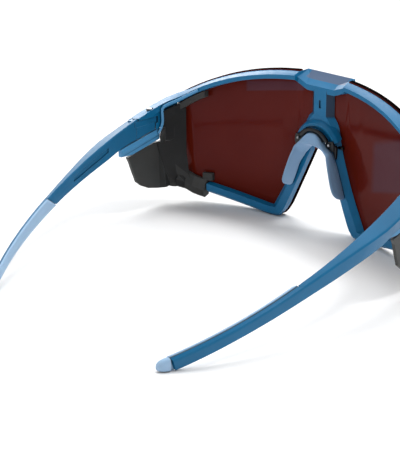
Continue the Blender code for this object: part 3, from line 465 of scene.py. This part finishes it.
def round_edges(name, node):
    """Merge flat faces, round the edges, then shade with creases."""
    modify(node, "flat", "DECIMATE", decimate_type="DISSOLVE", angle_limit=math.radians(0.6))
    modify(node, "round", "BEVEL", limit_method="ANGLE", angle_limit=math.radians(26),
           width=(0.3 if name == "lens" else 0.22) * MM, segments=2,
           use_clamp_overlap=True, harden_normals=False)
    tidy = 0.02 if name.startswith("side_shield") else 0.006
    modify(node, "tidy", "WELD", merge_threshold=tidy * MM)
    if name != "lens":
        modify(node, "crease", "NODES", node_group=CREASE)


CREASE = crease_group("crease", 13.0)

for name, node in frame["nodes"].items():
    node.data.materials.clear()
    node.data.materials.append(material_for(name))
    modify(node, "weld", "WELD", merge_threshold=0.02 * MM)
    if name in ROUNDED:
        round_edges(name, node)
    node.data.shade_smooth()

# ------------------------------------------------------------------ nose pad
PAD = (  # front outer, rear outer, rear inner, front inner, from the middle to the foot
    ((0.0, 28.5, 40.3), (0.0, 25.6, 40.2), (0.0, 23.9, 36.3), (0.0, 28.4, 34.7)),
    ((1.8, 28.5, 39.8), (2.2, 25.2, 39.7), (2.0, 23.9, 36.2), (1.0, 28.5, 34.4)),
    ((3.5, 28.5, 38.7), (3.9, 25.0, 38.2), (4.0, 24.0, 36.0), (1.9, 28.6, 33.8)),
    ((4.75, 28.3, 37.0), (5.3, 25.0, 36.6), (5.9, 24.2, 35.4), (2.7, 28.7, 33.0)),
    ((5.85, 28.4, 35.3), (7.1, 25.6, 34.9), (7.1, 24.4, 34.4), (3.7, 28.9, 31.9)),
    ((7.7, 28.7, 33.6), (8.7, 26.0, 33.7), (7.9, 24.3, 33.2), (5.0, 29.0, 30.5)),
    ((8.9, 29.0, 31.2), (9.1, 25.2, 32.0), (8.35, 23.9, 31.6), (5.95, 29.1, 29.1)),
    ((9.8, 29.1, 29.2), (9.7, 24.6, 30.0), (9.0, 23.5, 29.8), (6.9, 29.1, 27.7)),
    ((10.7, 29.1, 26.9), (10.4, 24.1, 27.6), (9.75, 23.2, 27.5), (7.9, 29.1, 26.1)),
    ((11.6, 29.1, 24.3), (11.3, 23.7, 24.6), (10.7, 22.9, 24.5), (8.85, 29.1, 23.8)),
    ((12.6, 29.1, 21.4), (12.2, 23.5, 21.6), (11.6, 22.8, 21.5), (9.8, 29.1, 21.1)),
    ((13.5, 29.1, 18.6), (12.95, 23.7, 19.3), (12.35, 23.1, 19.2), (10.8, 29.1, 18.4)),
    ((14.2, 28.9, 16.3), (13.35, 24.2, 17.9), (12.8, 23.9, 17.8), (11.7, 28.9, 16.2)),
    ((14.2, 28.3, 15.6), (13.5, 25.0, 17.0), (13.1, 24.9, 17.0), (12.3, 28.3, 15.5)),
)
PAD_LAST = len(PAD) - 1
# The mirrored half comes first, so that the curve is smooth in the middle
PAD_ROWS = np.concatenate((np.array(PAD)[:0:-1] * (-1, 1, 1), np.array(PAD)))
PAD_RADIUS = 0.55        # corner radius
PAD_RADIUS_SHARE = 0.42  # most of a side that one corner may take
PAD_CROWN = 0.054        # bulge of a side, as a share of its length
FOOT_DIRECTION = (0.28, -0.05, -0.95)
FOOT_STEPS = ((0.16, 0.93), (0.28, 0.8), (0.36, 0.6), (0.40, 0.35))  # drop, size


def pad_corners(station):
    """Four corners at a station number that may be a fraction."""
    row = station + PAD_LAST
    i = int(row)
    p0, p1, p2 = PAD_ROWS[i - 1:i + 2]
    p3 = PAD_ROWS[i + 2] if i + 2 < len(PAD_ROWS) else 2 * p2 - p1
    return spline(p0, p1, p2, p3, row - i)


def pad_ring(station, sign):
    """Section with rounded corners and softly crowned sides."""
    corners = pad_corners(station)
    middle = corners.mean(0)
    sides = [np.linalg.norm(corners[(i + 1) % 4] - corners[i]) for i in range(4)]
    radii = [min(PAD_RADIUS, PAD_RADIUS_SHARE * sides[i - 1], PAD_RADIUS_SHARE * sides[i])
             for i in range(4)]
    ring = []
    for i in range(4):
        after = (i + 1) % 4
        corner, following = corners[i], corners[after]
        along = (following - corner) / sides[i]
        back = (corners[i - 1] - corner) / sides[i - 1]
        start = corner + along * radii[i]
        end = following - along * radii[after]
        arc_start = corner + back * radii[i]
        for k in range(4):
            f = (k + 0.5) / 4
            ring.append((1 - f) ** 2 * arc_start + 2 * f * (1 - f) * corner + f * f * start)
        outward = (corner + following) / 2 - middle
        outward = outward / np.linalg.norm(outward)
        for k in range(1, 7):
            f = k / 7
            bulge = PAD_CROWN * sides[i] * math.sin(math.pi * f) ** 0.8
            ring.append(start + (end - start) * f + outward * bulge)
    return mirror(ring, sign)


def pad_half(side, sign):
    """Half of the nose pad, from the middle down to its closed foot."""
    stations = []
    station = 0.0
    while station < PAD_LAST - 0.6:
        stations.append(station)
        station += 0.14 if station < 6 else 0.2
    stations += [PAD_LAST - 0.6, PAD_LAST - 0.45, PAD_LAST - 0.3]
    rings = [pad_ring(station, sign) for station in stations]
    last = np.array(rings[-1])
    centre = last.mean(0)
    down = np.array(FOOT_DIRECTION) * (sign, 1, 1)
    for drop, size in FOOT_STEPS:
        rings.append(centre + (last - centre) * size + down * drop)
    obj = skin("nose_pad_" + side, rings, PAD_RUBBER, sharp_angle=60)
    if side == "right":
        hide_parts("nose_saddle", "nose_leg_right")
    else:
        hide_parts("nose_leg_left")
    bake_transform(obj)


# ------------------------------------------------------------- temple grips
TEMPLE = (  # y, then drops from the ridge to the outer and the inner lower edge
    (-104.0, 4.9, 4.9), (-90.0, 4.9, 4.9), (-78.0, 4.9, 4.9), (-66.0, 5.2, 5.2),
    (-54.0, 5.7, 5.6), (-42.0, 6.5, 6.2), (-30.0, 7.4, 7.0), (-22.0, 7.9, 7.5),
    (-17.0, 7.7, 7.4), (-12.0, 7.7, 7.35), (-5.0, 8.5, 8.2),
)
# Ridge of the temple: x and z as polynomials in -y / RIDGE_LENGTH, constant first
RIDGE_LENGTH = 95
RIDGE_X = (63.64, 13.61, -36.65, 19.54, -13.12)
RIDGE_Z = (41.38, -32.5, -6.78, 8.0, -3.49)
GRIP_START = -56.5
TIP_BLEND_Y = -100.15    # the band starts to turn into the tip
TIP_TAPER_Y = -101.0     # the tip starts to narrow
TIP_Y = -103.6           # it would close here
TIP_SQUARENESS = 0.62    # 1 is an ellipse, less is squarer
GRIP_COUNT = 36          # points round a section
GRIP_STATIONS = (
    *(GRIP_START - back for back in (0.32, 0.45, 0.65, 0.9, 1.3)), -58.6, -59.5,
    *np.linspace(-61.0, -99.0, 34), *np.linspace(-99.6, TIP_BLEND_Y, 3),
    -100.24, -100.32, -100.42, -100.55, -101.0, -101.5, -102.0, -102.4, -102.75, -103.0,
    -103.2, -103.35, -103.46, -103.54,
)


def temple_at(y):
    """Ridge x and z, and the outer and inner drops."""
    w = -y / RIDGE_LENGTH
    ridge = [sum(c * w ** i for i, c in enumerate(curve)) for curve in (RIDGE_X, RIDGE_Z)]
    ys, outer, inner = zip(*TEMPLE)
    return *ridge, float(np.interp(y, ys, outer)), float(np.interp(y, ys, inner))


def closed_curve(points, count):
    """Closed smooth curve through a few points of one section."""
    n = len(points)
    points = [np.array(point, float) for point in points]
    out = []
    for k in range(count):
        t = k * n / count
        i = int(t)
        out.append(spline(*(points[(i + j) % n] for j in (-1, 0, 1, 2)), t - i))
    return out


def band_points(y, crown):
    """Rubber on the temple's inner side, standing a little over the ridge."""
    x, z, _, drop = temple_at(y)
    return [(x + 0.08, y, max(z - drop + 0.02, 0.12)),
            (x - 0.34 * crown, y, max(z - drop + 0.28, 0.3)),
            (x - 0.92 * crown, y, z - drop * 0.66),
            (x - 0.96 * crown, y, z - drop * 0.3),
            (x - 0.78 * crown, y, z - 0.12 + 0.1 * crown),
            (x - 0.40 * crown, y, z + 0.24 * crown),
            (x + 0.08, y, z + 0.26 * crown),
            (x + 0.10, y, z - 0.6)]


def tip_points(y):
    """Rounded block that closes round the end of the temple."""
    x, z, drop, _ = temple_at(y)
    f = max((TIP_TAPER_Y - y) / (TIP_TAPER_Y - TIP_Y), 0.0)
    fullness = (1 - f ** 3.0) ** 0.5
    low, high = max(z - drop, 0.0), z + 0.24
    centre = (low + high) / 2 - 0.12 * (high - low) * (1 - fullness)
    half_width = 1.48 * (0.3 + 0.7 * fullness)
    half_height = (high - low) / 2 * (0.25 + 0.75 * fullness)

    def squared(value):
        return math.copysign(abs(value) ** TIP_SQUARENESS, value)

    ring = []
    for j in range(GRIP_COUNT):
        angle = -math.pi / 2 - 2 * math.pi * (j / GRIP_COUNT)
        ring.append((x + 0.42 + half_width * squared(math.cos(angle)), y,
                     max(centre + half_height * squared(math.sin(angle)), 0.05)))
    return ring


def grip_ring(y, sign):
    """Section of the rubber band, going over to the closed tip."""
    crown = 0.25 + 0.75 * smoothstep(GRIP_START - 0.3 - y)
    lean = 1.0 - smoothstep((GRIP_START - y) / 13.0)
    _, ridge_z, _, drop = temple_at(y)
    points = []
    # Low points lie further forward, so the front end of the band slants
    for i, (_, _, z) in enumerate(band_points(y, crown)):
        ahead = 5.0 * lean * min(max((ridge_z - z) / drop, 0.0), 1.0)
        points.append(band_points(y + ahead, crown)[i])
    ring = closed_curve(points, GRIP_COUNT)
    blend = smoothstep((TIP_BLEND_Y - y) / 0.35)
    if blend > 0:
        ring = [p * (1 - blend) + np.array(q) * blend for p, q in zip(ring, tip_points(y))]
    return mirror(ring, sign)


def grip(side, sign):
    rings = [grip_ring(y, sign) for y in GRIP_STATIONS]
    obj = skin("grip_" + side, rings, RUBBER, sharp_angle=60)
    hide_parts("temple_grip_" + side)
    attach(obj, "temple_" + side)


# -------------------------------------------------------- side shield edges
LIP_X, LIP_Y = 62.25, 7.9  # front end of the lip
LIP = (  # z, reach back, inset
    (27.4, 1.9, 0.0), (28.6, 2.1, 0.0), (30.0, 2.25, 0.0), (31.2, 2.2, 0.08),
    (32.2, 1.9, 0.28), (33.2, 1.45, 0.48), (33.9, 0.9, 0.5))
HEM_START = (63.45, 10.9)  # x, y
HEM_RUN = (-7.1, 6.3)      # x, y covered from station 0 to 1
HEM_ACROSS = (0.66, 0.75)  # x, y per millimetre across the hem
HEM_STATIONS = (0.0, 0.08, 0.2, 0.32, 0.44, 0.56, 0.68, 0.76)
HEM_TOP = 8.9


def shield_part(name, rings, side, sign):
    rings = [mirror(ring, sign) for ring in rings]
    obj = skin(name + side, rings, SHIELD, sharp_angle=40)
    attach(obj, "shield_" + side)


def lip(side, sign):
    """Turned-in edge of the side shield, where it meets the end of its trim."""
    rings = []
    for z, reach, inset in LIP:
        x, y = LIP_X + 0.10 * reach - inset, LIP_Y - reach
        outline = ((LIP_X, LIP_Y), (LIP_X + 0.05, LIP_Y - 0.3), (x + 0.05, y + 0.08),
                   (x - 0.1, y), (x - 0.34, y + 0.08), (x - 0.42, y + 0.3),
                   (LIP_X - 0.55, LIP_Y - 0.2), (LIP_X - 0.5, LIP_Y + 0.4))
        rings.append([(*point, z) for point in outline])
    shield_part("shield_lip_", rings, side, sign)


def hem(side, sign):
    """Rounded hem under the fold of the side shield."""
    rings = []
    for t in HEM_STATIONS:
        x, y = HEM_START[0] + HEM_RUN[0] * t, HEM_START[1] + HEM_RUN[1] * t
        low = 7.75 - 0.75 * math.sin(math.pi * min(t / HEM_STATIONS[-1] + 0.1, 1.0))
        outline = ((0.02, HEM_TOP), (0.02, low + 0.35), (0.25, low + 0.05), (0.6, low),
                   (0.95, low + 0.1), (1.2, low + 0.45), (1.2, HEM_TOP))
        rings.append([(x + HEM_ACROSS[0] * across, y + HEM_ACROSS[1] * across, z)
                      for across, z in outline])
    shield_part("shield_hem_", rings, side, sign)


for build in (pad_half, grip, lip, hem):
    for side, sign in SIDES:
        build(side, sign)

# ------------------------------------------------------------------- staging
FLOOR_HALF = 6           # metres
FLOOR_DROP = 0.08 * MM   # keeps the floor just clear of the glasses


def build_floor():
    mesh = bpy.data.meshes.new("floor")
    half = FLOOR_HALF
    mesh.from_pydata([(-half, -half, 0), (half, -half, 0), (half, half, 0), (-half, half, 0)],
                     [], [(0, 1, 2, 3)])
    floor = bpy.data.objects.new("floor", mesh)
    scene.collection.objects.link(floor)
    floor.location.z = -FLOOR_DROP
    paper, g = new_material("paper")
    speck = g.noise(g.millimetres(), scale=0.6, detail=3.0)
    tone = g.mix(speck, (0.93, 0.93, 0.93, 1), (0.95, 0.95, 0.95, 1))
    g.principled({"Base Color": tone, "Roughness": 0.9, "Specular IOR Level": 0.0})
    mesh.materials.append(paper)


def build_world():
    """Even white surround with soft boxes; the gleams show only in reflections."""
    studio = bpy.data.worlds.new("studio")
    scene.world = studio
    studio.use_nodes = True
    g = Graph(studio.node_tree)
    direction = g.add("TexCoord").outputs["Generated"]

    def softbox(vector, inner, outer, strength):
        """Full inside the inner angle, nothing outside the outer one, in degrees."""
        aligned = g.dot(direction, tuple(Vector(vector).normalized()))
        return g.ramp(aligned, off=math.cos(math.radians(outer)),
                      on=math.cos(math.radians(inner)), high=strength)

    glossy = g.add("LightPath").outputs["Is Glossy Ray"]
    dimmed = g.calc("MULTIPLY_ADD", glossy, -0.58, 1.0)  # overhead box, weaker in reflections
    overhead = g.product(softbox((-0.25, 0.35, 1.0), inner=14, outer=34, strength=2.4), dimmed)
    level = g.calc("ADD", 0.46, overhead)  # 0.46 is the even surround
    level = g.calc("ADD", level, softbox((-1.0, -0.6, 0.8), inner=10, outer=30, strength=0.5))
    gleam = g.calc("ADD", softbox((-0.64, 0.70, 0.42), inner=12, outer=30, strength=6.0),
                   softbox((0.2, 0.9, 0.9), inner=10, outer=26, strength=1.2))
    level = g.calc("ADD", level, g.product(glossy, gleam))
    g.finish(g.add("Background", {"Color": (1.0, 1.0, 1.0, 1.0), "Strength": level}),
             output="OutputWorld")


def sun(name, toward, energy, spread):
    """Sun that stands in the direction toward; spread is in degrees."""
    data = bpy.data.lights.new(name, "SUN")
    data.energy = energy
    data.angle = math.radians(spread)
    obj = bpy.data.objects.new(name, data)
    scene.collection.objects.link(obj)
    obj.rotation_mode = "QUATERNION"
    obj.rotation_quaternion = Vector(toward).to_track_quat("Z", "Y")
    obj.visible_glossy = False


def build_camera(target, distance, azimuth, elevation, roll, lens):
    """Camera behind and to the right, looking at target; angles are in degrees."""
    azimuth, elevation, roll = map(math.radians, (azimuth, elevation, roll))
    forward = Vector((-math.sin(azimuth) * math.cos(elevation),
                      math.cos(azimuth) * math.cos(elevation), -math.sin(elevation)))
    level = Vector((math.cos(azimuth), math.sin(azimuth), 0.0))
    upright = level.cross(forward)
    right = level * math.cos(roll) + upright * math.sin(roll)
    up = upright * math.cos(roll) - level * math.sin(roll)
    data = bpy.data.cameras.new("camera")
    camera = bpy.data.objects.new("camera", data)
    scene.collection.objects.link(camera)
    pose = Matrix((right, up, -forward)).transposed().to_4x4()
    pose.translation = Vector(target) - forward * distance
    camera.matrix_world = pose
    data.sensor_fit = "VERTICAL"
    data.sensor_height = 36
    data.lens = lens
    data.clip_start = 0.01
    data.clip_end = 20
    scene.camera = camera


build_floor()
build_world()
sun("key", toward=(-0.10, 0.26, 1.0), energy=0.60, spread=20)
sun("side", toward=(0.42, 0.34, 1.0), energy=0.85, spread=11)
build_camera(target=(-0.05301, 0.05225, -0.00953), distance=0.655186,
             azimuth=43.041, elevation=21.321, roll=-0.401, lens=126.26304)
scene.view_settings.view_transform = "Standard"
scene.view_settings.look = "None"
scene.view_settings.exposure = 0.0

bpy.context.view_layer.update()
